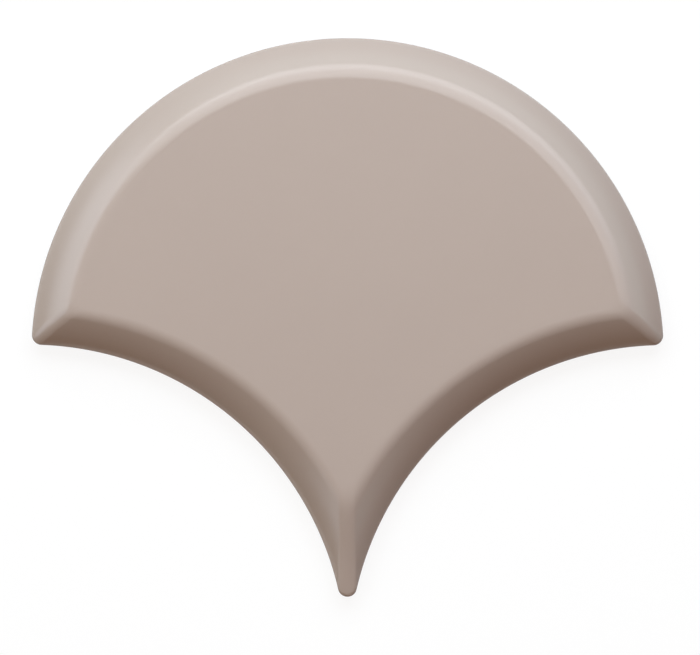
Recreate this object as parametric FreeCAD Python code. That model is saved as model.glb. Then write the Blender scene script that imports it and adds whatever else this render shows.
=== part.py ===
"""Fish scale wall tile: one pressed and glazed piece with a bevelled face and a keyed back.

The tile lies on its back. X runs across it, +Y from the tip to the round head and +Z out of its face.
The origin is the centre of the head's arc, on the plane that the tile is bedded on.
"""

import FreeCAD
import Part

import math
import os

# Outline, in millimetres. Each flank is hollowed to take the head of a tile in the next course.
HEAD_RADIUS = 60.0
FLANK_RADIUS = 60.0
FLANK_DROP = 58.2  # from the head's centre down to the centres of the flanks
FLANK_GAP = 0.4  # between the two flanks' circles where they pass closest, on the tile's axis
CORNER_RADIUS = 1.9
TIP_RADIUS = 1.8

# Section through the edge, from the side wall over the bevel to the flat of the face.
THICKNESS = 9.0
BEVEL_WIDTH = 6.6
BEVEL_DROP = 5.0
BEVEL_BULGE = 0.25  # how far the middle of the bevel stands proud of a flat one
ARRIS_RADIUS = 0.8  # the round from the side wall into the bevel
CROWN_RADIUS = 4.6  # the round from the bevel into the flat

# Back: a rim and straight ribs to bed on, with shallow grooves between them that key the adhesive.
FOOT_CHAMFER = 0.5
RIM_WIDTH = 5.0
RIB_WIDTH = 3.0
GROOVE_WIDTH = 7.5
GROOVE_DEPTH = 0.8
GROOVE_TAPER = 0.5  # how far each groove's wall leans in, to let go of the press

HEAD_CENTRE = (0.0, 0.0)
FLANK_CENTRE = (FLANK_RADIUS + FLANK_GAP / 2, -FLANK_DROP)


def polar(centre, radius, angle):
    """The point at that angle on a circle."""
    return centre[0] + radius * math.cos(angle), centre[1] + radius * math.sin(angle)


def bearing(start, end):
    """The angle of the line from start to end."""
    return math.atan2(end[1] - start[1], end[0] - start[0])


def edge_section():
    """The arris, the bevel and the crown, each as points (depth in from the outline, height) on its arc."""
    chord = math.hypot(BEVEL_WIDTH, BEVEL_DROP)
    bevel_radius = (chord / 2) ** 2 / (2 * BEVEL_BULGE) + BEVEL_BULGE / 2
    below_chord = bevel_radius - BEVEL_BULGE
    bevel_centre = (
        BEVEL_WIDTH / 2 + below_chord * BEVEL_DROP / chord,
        THICKNESS - BEVEL_DROP / 2 - below_chord * BEVEL_WIDTH / chord,
    )

    to_arris = bevel_radius - ARRIS_RADIUS
    arris_rise = math.sqrt(to_arris ** 2 - (bevel_centre[0] - ARRIS_RADIUS) ** 2)
    arris_centre = (ARRIS_RADIUS, bevel_centre[1] + arris_rise)
    bevel_start = bearing(bevel_centre, arris_centre)

    to_crown = bevel_radius - CROWN_RADIUS
    crown_height = THICKNESS - CROWN_RADIUS
    crown_setback = math.sqrt(to_crown ** 2 - (crown_height - bevel_centre[1]) ** 2)
    crown_centre = (bevel_centre[0] - crown_setback, crown_height)
    bevel_end = bearing(bevel_centre, crown_centre)

    def arc_points(centre, radius, first, last, steps=4):
        return [polar(centre, radius, first + (last - first) * k / steps) for k in range(steps + 1)]

    return [
        arc_points(arris_centre, ARRIS_RADIUS, math.pi, bevel_start),
        arc_points(bevel_centre, bevel_radius, bevel_start, bevel_end),
        arc_points(crown_centre, CROWN_RADIUS, bevel_end, math.pi / 2),
    ]


def corner_centre(depth):
    """Centre of the right-hand corner's round, tangent inside the head and outside the flank."""
    to_head = HEAD_RADIUS - depth - CORNER_RADIUS
    to_flank = FLANK_RADIUS + depth + CORNER_RADIUS
    apart = math.dist(HEAD_CENTRE, FLANK_CENTRE)
    along = (to_head ** 2 - to_flank ** 2 + apart ** 2) / (2 * apart)
    turn = math.acos(along / to_head)
    return polar(HEAD_CENTRE, to_head, bearing(HEAD_CENTRE, FLANK_CENTRE) + turn)


def tip_centre(depth):
    """Centre of the tip's round, on the tile's axis and tangent to both flanks."""
    to_flank = FLANK_RADIUS + depth + TIP_RADIUS
    return 0.0, FLANK_CENTRE[1] + math.sqrt(to_flank ** 2 - FLANK_CENTRE[0] ** 2)


def contour(depth, height):
    """The outline moved in by that depth, with its corners and tip as round as they were."""
    corner, tip = corner_centre(depth), tip_centre(depth)
    corner_start, tip_start = bearing(HEAD_CENTRE, corner), bearing(tip, FLANK_CENTRE)
    corner_arc = corner, CORNER_RADIUS, corner_start, bearing(corner, FLANK_CENTRE)
    flank_arc = FLANK_CENTRE, FLANK_RADIUS + depth, bearing(FLANK_CENTRE, corner), bearing(FLANK_CENTRE, tip)

    def edge(side, centre, radius, first, last):
        points = [polar(centre, radius, angle) for angle in (first, (first + last) / 2, last)]
        return Part.Arc(*[FreeCAD.Vector(side * x, y, height) for x, y in points[::side]]).toShape()

    return Part.Wire([
        edge(1, HEAD_CENTRE, HEAD_RADIUS - depth, math.pi - corner_start, corner_start),
        edge(1, *corner_arc),
        edge(1, *flank_arc),
        edge(1, tip, TIP_RADIUS, tip_start, -math.pi - tip_start),
        edge(-1, *flank_arc),
        edge(-1, *corner_arc),
    ])


def plain_tile():
    """The tile with a flat back: chamfered foot, straight side wall, arris, bevel and crown."""
    bands = edge_section()
    foot = [(FOOT_CHAMFER, 0.0), (0.0, FOOT_CHAMFER)]
    lofts = [Part.makeLoft([contour(*point) for point in band], True) for band in [foot, *bands]]
    wall_top = bands[0][0][1]
    wall = Part.Face(contour(0.0, FOOT_CHAMFER)).extrude(FreeCAD.Vector(0, 0, wall_top - FOOT_CHAMFER))
    return wall.fuse(lofts)


def keying_grooves():
    """Straight grooves across the back, which stop at the rim and leave a rib under the head's centre."""
    field_edges = [contour(RIM_WIDTH, 0.0), contour(RIM_WIDTH + GROOVE_TAPER, GROOVE_DEPTH)]
    field = Part.makeLoft(field_edges, True, True)
    pitch = RIB_WIDTH + GROOVE_WIDTH
    above = math.floor((HEAD_RADIUS - RIM_WIDTH + RIB_WIDTH / 2) / pitch)
    below = math.floor((TIP_RADIUS - tip_centre(RIM_WIDTH)[1] + RIB_WIDTH / 2) / pitch)
    strips = []
    for row in range(-below, above):
        low = row * pitch + RIB_WIDTH / 2
        high = low + GROOVE_WIDTH
        mouth = FreeCAD.Vector(-HEAD_RADIUS, low, 0), FreeCAD.Vector(-HEAD_RADIUS, high, 0)
        floor = (
            FreeCAD.Vector(-HEAD_RADIUS, high - GROOVE_TAPER, GROOVE_DEPTH),
            FreeCAD.Vector(-HEAD_RADIUS, low + GROOVE_TAPER, GROOVE_DEPTH),
        )
        section = Part.Face(Part.makePolygon([*mouth, *floor, mouth[0]]))
        strips.append(section.extrude(FreeCAD.Vector(2 * HEAD_RADIUS, 0, 0)))
    return field.common(strips)


def fish_scale_tile():
    """The finished tile as one solid."""
    return plain_tile().cut(keying_grooves()).Solids[0]


os.makedirs("parts", exist_ok=True)
fish_scale_tile().exportStep("parts/fish_scale_tile.step")
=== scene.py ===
"""The finished fish scale tile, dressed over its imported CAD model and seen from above.

Everything is in metres, in the CAD frame: X across the tile, +Y from tip to head, +Z out of the face.
"""

import math

import bmesh
import bpy
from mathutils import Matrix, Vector


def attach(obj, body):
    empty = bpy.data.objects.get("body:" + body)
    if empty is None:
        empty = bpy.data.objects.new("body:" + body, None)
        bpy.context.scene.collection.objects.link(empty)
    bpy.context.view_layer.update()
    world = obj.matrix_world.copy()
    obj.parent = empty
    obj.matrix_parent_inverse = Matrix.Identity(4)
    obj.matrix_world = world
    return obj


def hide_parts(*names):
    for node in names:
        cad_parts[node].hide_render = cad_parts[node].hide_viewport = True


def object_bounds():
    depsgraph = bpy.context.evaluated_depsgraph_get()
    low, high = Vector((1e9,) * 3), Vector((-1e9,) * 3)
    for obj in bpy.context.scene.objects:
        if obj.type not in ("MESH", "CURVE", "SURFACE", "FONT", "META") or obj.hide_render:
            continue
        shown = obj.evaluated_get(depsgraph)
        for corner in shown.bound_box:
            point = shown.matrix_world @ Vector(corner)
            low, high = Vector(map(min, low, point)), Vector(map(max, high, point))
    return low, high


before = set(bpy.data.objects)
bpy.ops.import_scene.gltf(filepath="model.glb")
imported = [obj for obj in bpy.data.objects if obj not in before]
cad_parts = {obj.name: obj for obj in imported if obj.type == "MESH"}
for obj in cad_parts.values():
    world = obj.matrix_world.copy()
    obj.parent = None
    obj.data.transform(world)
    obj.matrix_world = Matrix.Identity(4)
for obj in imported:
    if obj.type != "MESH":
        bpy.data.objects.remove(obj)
cad_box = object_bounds()

MM = 0.001
NODE = "fish_scale_tile"

# Outline. The head's radius comes from the CAD box, because the origin is the head's centre.
HEAD_RADIUS = cad_box[1].y
FLANK_RADIUS = 60.0 * MM
FLANK_DROP = 58.2 * MM
FLANK_GAP = 0.4 * MM
CORNER_RADIUS = 1.9 * MM
TIP_RADIUS = 1.8 * MM
HEAD_CENTRE = (0.0, 0.0)
FLANK_CENTRE = (FLANK_RADIUS + FLANK_GAP / 2, -FLANK_DROP)

# Section through the edge. The thickness comes from the CAD box, because the tile is bedded at height 0.
THICKNESS = cad_box[1].z
BEVEL_WIDTH = 6.6 * MM
BEVEL_DROP = 5.0 * MM
BEVEL_BULGE = 0.25 * MM
ARRIS_RADIUS = 0.8 * MM
CROWN_RADIUS = 4.6 * MM
FOOT_RADIUS = 0.5 * MM

# Glaze: it stands proud of the bare body and ends on the side wall in an uneven line.
GLAZE_FILM = 0.12 * MM
GLAZE_LINE = 2.3 * MM
GLAZE_WAVES = ((3, 0.22, 0.4), (7, 0.16, 2.1), (17, 0.10, 4.0), (41, 0.06, 1.3))  # per round, mm, phase
GLAZE_LIP = ((0.45, 0.02), (0.12, 0.08), (0.0, 0.2))  # depth as a share of the film, mm above the line
BARE_BAND = 0.4 * MM  # a narrow row of faces just below the line

# Back.
RIM_WIDTH = 5.0 * MM
RIB_WIDTH = 3.0 * MM
GROOVE_WIDTH = 7.5 * MM
# Section of a groove: mm in from its mouth and up from the bed.
GROOVE_SECTION = ((0.0, 0.0), (0.06, 0.02), (0.13, 0.08), (0.37, 0.72), (0.44, 0.78), (0.55, 0.80))

# Steps along each part of half an outline, along each round of the section and along the end of a groove.
HEAD_STEPS = 72
CORNER_STEPS = 10
FLANK_STEPS = 56
TIP_STEPS = 8
FOOT_STEPS = 4
ARRIS_STEPS = 6
BEVEL_STEPS = 10
CROWN_STEPS = 12
GROOVE_STEPS = 24

# Surfaces: two tones, scale and detail of the cloud between them, scale and detail of the fine relief,
# its strength, and the roughness.
GLAZE = (((0.448, 0.369, 0.325, 1), (0.462, 0.381, 0.335, 1)), (45.0, 3.0), (220.0, 2.0), 0.05, 0.06)
BARE_BODY = (((0.64, 0.52, 0.42, 1), (0.78, 0.67, 0.57, 1)), (160.0, 6.0), (2600.0, 3.0), 0.4, 0.85)
RELIEF_DEPTH = 0.2 * MM
REFRACTION = 1.5

# Stage. The camera and mirror images see it white. Its own colour only tints the light that it sends back.
STAGE_RADIUS = 12.0
STAGE_RIM = 0.5
STAGE_SIDES = 96
STAGE_RIM_STEPS = 6
STAGE_COLOUR = (0.18, 0.11, 0.06, 1)
STAGE_GLOW = 0.90
WHITE = (1, 1, 1, 1)

# Lamps, which light the tile but aren't mirrored in it: degrees from straight up, heading in degrees
# from +X, distance and size in metres, radiance.
LAMPS = {
    "fill": (45.0, 86.0, 0.7, (0.84, 0.56), (4.72, 5.28, 5.76)),
    "warm": (20.0, 260.0, 0.9, (0.90, 0.90), (0.70, 0.25, 0.02)),
    "left": (50.0, 165.0, 0.9, (0.80, 0.80), (1.06, 1.20, 1.12)),
}

# Soft windows of the room, which are only mirrored: heading of the middle, then the place and the blur of
# the ends on both sides of it, of the top edge and of the bottom edge, in degrees, and the radiance. The
# top and bottom edges are measured from straight up.
WINDOWS = {
    "window": (72.0, (66.0, 40.0), (13.0, 7.0), (66.7, 1.2), (1.60, 1.70, 1.78)),
    "pane": (78.0, (52.0, 36.0), (52.0, 22.0), (66.7, 1.2), (1.22, 1.30, 1.37)),
    "wall": (48.0, (78.0, 50.0), (66.7, 1.2), (76.0, 10.0), (0.62, 0.90, 0.90)),
    "side": (175.0, (32.0, 30.0), (36.0, 24.0), (76.0, 14.0), (1.74, 2.00, 2.30)),
}
WORLD_COLOUR = (0.06, 0.04, 0.025)

# Camera: how far it leans off straight down, towards +X and towards +Y.
LENS = 600.0
SENSOR = 36.0
IMAGE_WIDTH = 700
PIXELS_PER_METRE = 5273.0
LEAN = (math.radians(1.1), math.radians(2.0))
VIEW_TARGET = (0.50 * MM, 5.13 * MM, 4.0 * MM)


def polar(centre, radius, angle):
    """The point at that angle on a circle."""
    return centre[0] + radius * math.cos(angle), centre[1] + radius * math.sin(angle)


def bearing(start, end):
    """The angle of the line from start to end."""
    return math.atan2(end[1] - start[1], end[0] - start[0])


def arc_points(centre, radius, first, last, steps):
    """Points along an arc, without its last one."""
    return [polar(centre, radius, first + (last - first) * k / steps) for k in range(steps)]


def corner_centre(depth):
    """Centre of the right-hand corner's round, tangent inside the head and outside the flank."""
    to_head = HEAD_RADIUS - depth - CORNER_RADIUS
    to_flank = FLANK_RADIUS + depth + CORNER_RADIUS
    apart = math.dist(HEAD_CENTRE, FLANK_CENTRE)
    along = (to_head ** 2 - to_flank ** 2 + apart ** 2) / (2 * apart)
    return polar(HEAD_CENTRE, to_head, bearing(HEAD_CENTRE, FLANK_CENTRE) + math.acos(along / to_head))


def tip_centre(depth):
    """Centre of the tip's round, on the axis and tangent to both flanks."""
    to_flank = FLANK_RADIUS + depth + TIP_RADIUS
    return 0.0, FLANK_CENTRE[1] + math.sqrt(to_flank ** 2 - FLANK_CENTRE[0] ** 2)


def contour(depth):
    """Points round the outline moved in by depth, from the top of the head clockwise, seen from above."""
    corner, tip = corner_centre(depth), tip_centre(depth)
    head_end, down = bearing(HEAD_CENTRE, corner), -math.pi / 2
    flank_ends = bearing(FLANK_CENTRE, corner), bearing(FLANK_CENTRE, tip)
    half = arc_points(HEAD_CENTRE, HEAD_RADIUS - depth, math.pi / 2, head_end, HEAD_STEPS)
    half += arc_points(corner, CORNER_RADIUS, head_end, bearing(corner, FLANK_CENTRE), CORNER_STEPS)
    half += arc_points(FLANK_CENTRE, FLANK_RADIUS + depth, *flank_ends, FLANK_STEPS)
    half += arc_points(tip, TIP_RADIUS, bearing(tip, FLANK_CENTRE), down, TIP_STEPS)
    half.append(polar(tip, TIP_RADIUS, down))
    return half + [(-x, y) for x, y in half[-2:0:-1]]


def edge_section():
    """(depth, height) from the top of the side wall round the arris, up the bevel and over the crown."""
    chord = math.hypot(BEVEL_WIDTH, BEVEL_DROP)
    bevel_radius = (chord / 2) ** 2 / (2 * BEVEL_BULGE) + BEVEL_BULGE / 2
    below_chord = bevel_radius - BEVEL_BULGE
    bevel_centre = (
        BEVEL_WIDTH / 2 + below_chord * BEVEL_DROP / chord,
        THICKNESS - BEVEL_DROP / 2 - below_chord * BEVEL_WIDTH / chord,
    )
    arris_rise = math.sqrt((bevel_radius - ARRIS_RADIUS) ** 2 - (bevel_centre[0] - ARRIS_RADIUS) ** 2)
    arris_centre = (ARRIS_RADIUS, bevel_centre[1] + arris_rise)
    crown_height = THICKNESS - CROWN_RADIUS
    crown_setback = math.sqrt((bevel_radius - CROWN_RADIUS) ** 2 - (crown_height - bevel_centre[1]) ** 2)
    crown_centre = (bevel_centre[0] - crown_setback, crown_height)
    bevel_start, bevel_end = bearing(bevel_centre, arris_centre), bearing(bevel_centre, crown_centre)
    section = arc_points(arris_centre, ARRIS_RADIUS, math.pi, bevel_start, ARRIS_STEPS)
    section += arc_points(bevel_centre, bevel_radius, bevel_start, bevel_end, BEVEL_STEPS)
    section += arc_points(crown_centre, CROWN_RADIUS, bevel_end, math.pi / 2, CROWN_STEPS)
    return section + [polar(crown_centre, CROWN_RADIUS, math.pi / 2)]


def glaze_line():
    """Height of the glaze's lower edge at each point of the outline."""
    points = contour(0.0)
    lengths = [math.dist(a, b) for a, b in zip(points, points[1:] + points[:1])]
    total, travelled, heights = sum(lengths), 0.0, []
    for length in lengths:
        turn = 2 * math.pi * travelled / total
        wave = sum(size * math.sin(count * turn + phase) for count, size, phase in GLAZE_WAVES)
        heights.append(GLAZE_LINE + wave * MM)
        travelled += length
    return heights


def crossing(points, height):
    """Place, counted in points from the top of the head, where the outline first falls to that height."""
    for k, (here, there) in enumerate(zip(points, points[1:])):
        if there[1] <= height:
            return k + (here[1] - height) / (here[1] - there[1])


def between(points, place):
    """The point at a place counted in points, on the straight line between the two beside it."""
    k = int(place)
    return tuple(a + (b - a) * (place - k) for a, b in zip(points[k], points[k + 1]))


def groove_outline(low, inset):
    """A groove's outline moved in by inset, clockwise from above: down its right end and up its left."""
    points = contour(RIM_WIDTH + inset)
    first, last = crossing(points, low + GROOVE_WIDTH - inset), crossing(points, low + inset)
    right = [between(points, first + (last - first) * k / GROOVE_STEPS) for k in range(GROOVE_STEPS + 1)]
    return right + [(-x, y) for x, y in reversed(right)]


def groove_lows():
    """Lower edges of the grooves across the back, as many as fit inside the rim."""
    heights = [y for x, y in contour(RIM_WIDTH)]
    pitch = RIB_WIDTH + GROOVE_WIDTH
    above = math.floor((max(heights) + RIB_WIDTH / 2) / pitch)
    below = math.floor((RIB_WIDTH / 2 - min(heights)) / pitch)
    return [row * pitch + RIB_WIDTH / 2 for row in range(-below, above)]


def build_mesh():
    """The whole tile as one closed mesh: material 0 is the glaze and material 1 the bare body."""
    bm = bmesh.new()
    line = glaze_line()

    def ring(points, heights):
        return [bm.verts.new((x, y, z)) for (x, y), z in zip(points, heights)]

    def level_ring(points, height):
        return ring(points, [height] * len(points))

    def raised(amount):
        return [height + amount for height in line]

    def ring_edges(points):
        return [bm.edges.get((points[k - 1], points[k])) for k in range(len(points))]

    def band(outer, inner, material):
        for k in range(len(outer)):
            face = bm.faces.new((outer[k - 1], outer[k], inner[k], inner[k - 1]))
            face.material_index = material

    foot_centre = (GLAZE_FILM + FOOT_RADIUS, FOOT_RADIUS)
    foot = arc_points(foot_centre, FOOT_RADIUS, 1.5 * math.pi, math.pi, FOOT_STEPS)
    foot.append((GLAZE_FILM, FOOT_RADIUS))
    rings = [level_ring(contour(depth), height) for depth, height in foot]
    rings += [ring(contour(GLAZE_FILM), heights) for heights in (raised(-BARE_BAND), line)]
    bare_bands = len(rings) - 1
    rings += [ring(contour(GLAZE_FILM * share), raised(rise * MM)) for share, rise in GLAZE_LIP]
    rings += [level_ring(contour(depth), height) for depth, height in edge_section()]
    for k in range(len(rings) - 1):
        band(rings[k + 1], rings[k], 1 if k < bare_bands else 0)
    bm.faces.new(list(reversed(rings[-1])))

    edges = ring_edges(rings[0])
    for low in groove_lows():
        levels = []
        for inset, height in GROOVE_SECTION:
            levels.append(level_ring(groove_outline(low, inset * MM), height * MM))
        for outer, inner in zip(levels, levels[1:]):
            band(outer, inner, 1)
        bm.faces.new(levels[-1]).material_index = 1
        edges += ring_edges(levels[0])
    land = bmesh.ops.triangle_fill(bm, use_beauty=True, edges=edges, normal=(0, 0, -1))
    for face in land["geom"]:
        if isinstance(face, bmesh.types.BMFace):
            face.material_index = 1
    for face in bm.faces:
        face.smooth = True
    mesh = bpy.data.meshes.new("tile")
    bm.to_mesh(mesh)
    bm.free()
    return mesh


class Nodes:
    """Short calls for making and joining the nodes of a material or a world."""

    def __init__(self, owner):
        owner.use_nodes = True
        self.tree = owner.node_tree
        self.tree.nodes.clear()

    def fill(self, socket, value):
        """Links a socket to another one, or sets it to a plain value."""
        if isinstance(value, bpy.types.NodeSocket):
            self.tree.links.new(value, socket)
        else:
            socket.default_value = value

    def add(self, kind, settings=(), **inputs):
        """A node with some of its inputs filled by name."""
        node = self.tree.nodes.new(kind)
        for name, value in dict(settings).items():
            setattr(node, name, value)
        for name, value in inputs.items():
            self.fill(node.inputs[name.replace("_", " ")], value)
        return node

    def in_order(self, kind, settings, *values):
        """The outputs of a node whose inputs share a name, so that they are filled in order."""
        node = self.add(kind, settings)
        for socket, value in zip(node.inputs, values):
            self.fill(socket, value)
        return node.outputs


def fired_material(name, tones, cloud, relief, relief_strength, roughness):
    """A fired surface, cloudy between two tones, with a fine relief."""
    material = bpy.data.materials.new(name)
    nodes = Nodes(material)
    place = nodes.add("ShaderNodeTexCoord").outputs["Object"]

    def noise(scale, detail):
        return nodes.add("ShaderNodeTexNoise", Vector=place, Scale=scale, Detail=detail).outputs["Fac"]

    ramp = nodes.add("ShaderNodeValToRGB", Fac=noise(*cloud))
    for element, tone in zip(ramp.color_ramp.elements, tones):
        element.color = tone
    height = noise(*relief)
    bump = nodes.add("ShaderNodeBump", Height=height, Strength=relief_strength, Distance=RELIEF_DEPTH)
    shader = nodes.add(
        "ShaderNodeBsdfPrincipled",
        Base_Color=ramp.outputs["Color"],
        Roughness=roughness,
        IOR=REFRACTION,
        Normal=bump.outputs["Normal"],
    )
    nodes.add("ShaderNodeOutputMaterial", Surface=shader.outputs["BSDF"])
    return material


def add_tile():
    tile = bpy.data.objects.new("glazed_tile", build_mesh())
    bpy.context.scene.collection.objects.link(tile)
    tile.data.materials.append(fired_material("glaze", *GLAZE))
    tile.data.materials.append(fired_material("bare_body", *BARE_BODY))
    tile.modifiers.new("even shading", "WEIGHTED_NORMAL")
    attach(tile, "root")
    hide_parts(NODE)


def stage_mesh():
    """A round floor whose far rim curves up into a low backdrop."""
    points = [(0.0, 0.0, 0.0)]
    for step in range(STAGE_RIM_STEPS + 1):
        turn = math.pi / 2 * step / STAGE_RIM_STEPS
        radius = STAGE_RADIUS - STAGE_RIM * (1 - math.sin(turn))
        height = STAGE_RIM * (1 - math.cos(turn))
        points += [(x, y, height) for x, y in arc_points((0.0, 0.0), radius, 0.0, 2 * math.pi, STAGE_SIDES)]
    faces = [(0, 1 + k, 1 + (k + 1) % STAGE_SIDES) for k in range(STAGE_SIDES)]
    for step in range(STAGE_RIM_STEPS):
        inner = 1 + step * STAGE_SIDES
        outer = inner + STAGE_SIDES
        for k in range(STAGE_SIDES):
            after = (k + 1) % STAGE_SIDES
            faces.append((inner + k, outer + k, outer + after, inner + after))
    mesh = bpy.data.meshes.new("stage")
    mesh.from_pydata(points, [], faces)
    return mesh


def stage_material():
    """White to the camera and in mirror images, and tinted to all other light."""
    material = bpy.data.materials.new("stage")
    nodes = Nodes(material)
    path = nodes.add("ShaderNodeLightPath").outputs
    seen = path["Is Camera Ray"]
    for kind in ("Is Glossy Ray", "Is Transmission Ray"):
        seen = nodes.in_order("ShaderNodeMath", {"operation": "MAXIMUM"}, seen, path[kind])[0]
    tinted = nodes.add("ShaderNodeBsdfDiffuse", Color=STAGE_COLOUR).outputs[0]
    matt = nodes.add("ShaderNodeBsdfDiffuse", Color=WHITE).outputs[0]
    glow = nodes.add("ShaderNodeEmission", Color=WHITE, Strength=1.0).outputs[0]
    white = nodes.in_order("ShaderNodeMixShader", {}, STAGE_GLOW, matt, glow)[0]
    mix = nodes.in_order("ShaderNodeMixShader", {}, seen, tinted, white)[0]
    nodes.add("ShaderNodeOutputMaterial", Surface=mix)
    return material


def add_stage():
    stage = bpy.data.objects.new("stage", stage_mesh())
    bpy.context.scene.collection.objects.link(stage)
    stage.data.materials.append(stage_material())


def add_lamps():
    for name, (zenith, heading, distance, size, radiance) in LAMPS.items():
        lamp = bpy.data.lights.new(name, "AREA")
        lamp.shape = "RECTANGLE"
        lamp.size, lamp.size_y = size
        lamp.energy = max(radiance) * math.pi * size[0] * size[1]
        lamp.color = [level / max(radiance) for level in radiance]
        lean, turn = math.radians(zenith), math.radians(heading)
        away = Vector((*polar((0.0, 0.0), math.sin(lean), turn), math.cos(lean)))
        panel = bpy.data.objects.new(name, lamp)
        panel.location = away * distance
        panel.rotation_euler = away.to_track_quat("Z", "Y").to_euler()
        panel.visible_glossy = False
        bpy.context.scene.collection.objects.link(panel)


def soft_edge(place, blur):
    """Where an edge with that blur starts and ends, in radians."""
    return math.radians(place - blur / 2), math.radians(place + blur / 2)


def add_world():
    world = bpy.data.worlds.new("room")
    nodes = Nodes(world)

    def vectors(operation, *values):
        return nodes.in_order("ShaderNodeVectorMath", {"operation": operation}, *values)

    def rise(value, start, end):
        smooth = {"interpolation_type": "SMOOTHSTEP"}
        return nodes.add("ShaderNodeMapRange", smooth, Value=value, From_Min=start, From_Max=end).outputs[0]

    direction = nodes.add("ShaderNodeTexCoord").outputs["Generated"]
    height = nodes.add("ShaderNodeSeparateXYZ", Vector=direction).outputs["Z"]
    zenith = nodes.in_order("ShaderNodeMath", {"operation": "ARCCOSINE"}, height)[0]
    level = vectors("NORMALIZE", vectors("MULTIPLY", direction, (1.0, 1.0, 0.0))[0])[0]
    total = WORLD_COLOUR
    for heading, sides, top, bottom, radiance in WINDOWS.values():
        middle = (*polar((0.0, 0.0), 1.0, math.radians(heading)), 0.0)
        nearness = vectors("DOT_PRODUCT", level, middle)["Value"]
        side_start, side_end = soft_edge(*sides)
        bottom_start, bottom_end = soft_edge(*bottom)
        shares = (
            rise(zenith, *soft_edge(*top)),
            rise(zenith, bottom_end, bottom_start),
            rise(nearness, math.cos(side_end), math.cos(side_start)),
        )
        light = radiance
        for share in shares:
            scale = {"operation": "SCALE"}
            light = nodes.add("ShaderNodeVectorMath", scale, Vector=light, Scale=share).outputs[0]
        total = vectors("ADD", light, total)[0]
    background = nodes.add("ShaderNodeBackground", Color=total, Strength=1.0)
    nodes.add("ShaderNodeOutputWorld", Surface=background.outputs[0])
    bpy.context.scene.world = world
    world.cycles_visibility.diffuse = False


def add_camera():
    camera = bpy.data.objects.new("camera", bpy.data.cameras.new("camera"))
    camera.data.lens = LENS
    camera.data.sensor_width = SENSOR
    camera.rotation_euler = (-LEAN[1], LEAN[0], 0.0)
    away = Vector((0, 0, IMAGE_WIDTH * LENS / SENSOR / PIXELS_PER_METRE))
    away.rotate(camera.rotation_euler)
    camera.location = Vector(VIEW_TARGET) + away
    bpy.context.scene.collection.objects.link(camera)
    bpy.context.scene.camera = camera


bpy.context.scene.view_settings.view_transform = "Standard"
add_tile()
add_stage()
add_lamps()
add_world()
add_camera()
